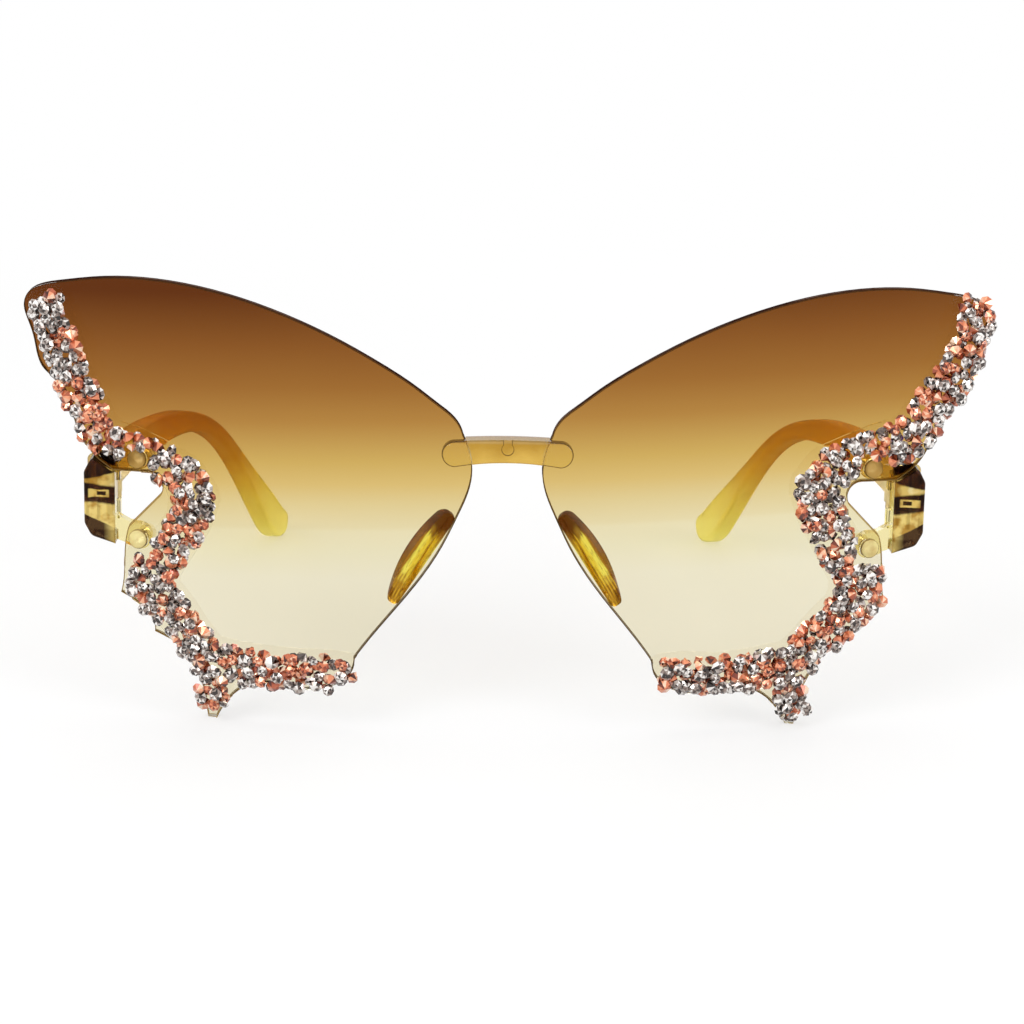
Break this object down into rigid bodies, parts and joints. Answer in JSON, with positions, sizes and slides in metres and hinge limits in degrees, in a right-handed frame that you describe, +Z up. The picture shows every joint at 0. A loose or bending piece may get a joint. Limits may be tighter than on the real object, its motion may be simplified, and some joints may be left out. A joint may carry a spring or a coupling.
{
  "type": "butterfly sunglasses",
  "caption": "Rimless sunglasses with butterfly-wing lenses, a stone-set outer edge, amber bridge, nose pads and endpieces, and folding temples.",
  "frame": {"origin": "middle of the whole part's outline on the surface that it stands on", "axes": "+X along the width to the right seen from the front, +Y back along the temples, +Z up"},
  "size_m": [0.1714, 0.1498, 0.0788],
  "materials": {
    "tinted_lens": "gloss, graded brown tint",
    "amber": "gloss, clear amber",
    "honey_amber": "gloss, clear honey amber",
    "steel": "satin",
    "clear_glue": "gloss, clear",
    "crystal": "faceted, foil back",
    "copper_crystal": "faceted, foil back",
    "violet_crystal": "faceted, foil back"
  },
  "bodies": {
    "front": {"lens_left": "tinted_lens", "lens_right": "tinted_lens", "nose_pad_left": "amber", "nose_pad_right": "amber", "endpiece_left": "amber", "endpiece_right": "amber", "upper_rivet_left": "amber", "upper_rivet_right": "amber", "lower_rivet_left": "amber", "lower_rivet_right": "amber", "hinge_screw_left": "steel", "hinge_screw_right": "steel", "glue_bed_left": "clear_glue", "glue_bed_right": "clear_glue", "clear_stones_left": "crystal", "clear_stones_right": "crystal", "copper_stones_left": "copper_crystal", "copper_stones_right": "copper_crystal", "bridge": "amber", "violet_stone": "violet_crystal"},
    "temple_left": {"temple_left": "honey_amber"},
    "temple_right": {"temple_right": "honey_amber"}
  },
  "joints": [
    {"name": "fold_left", "type": "hinge", "parent": "front", "child": "temple_left", "pos_m": [-0.07028, -0.05551, 0.04025], "axis": [0, 0, -1], "range_deg": [0, 71]},
    {"name": "fold_right", "type": "hinge", "parent": "front", "child": "temple_right", "pos_m": [0.07028, -0.05551, 0.04025], "axis": [0, 0, 1], "range_deg": [0, 78]}
  ]
}
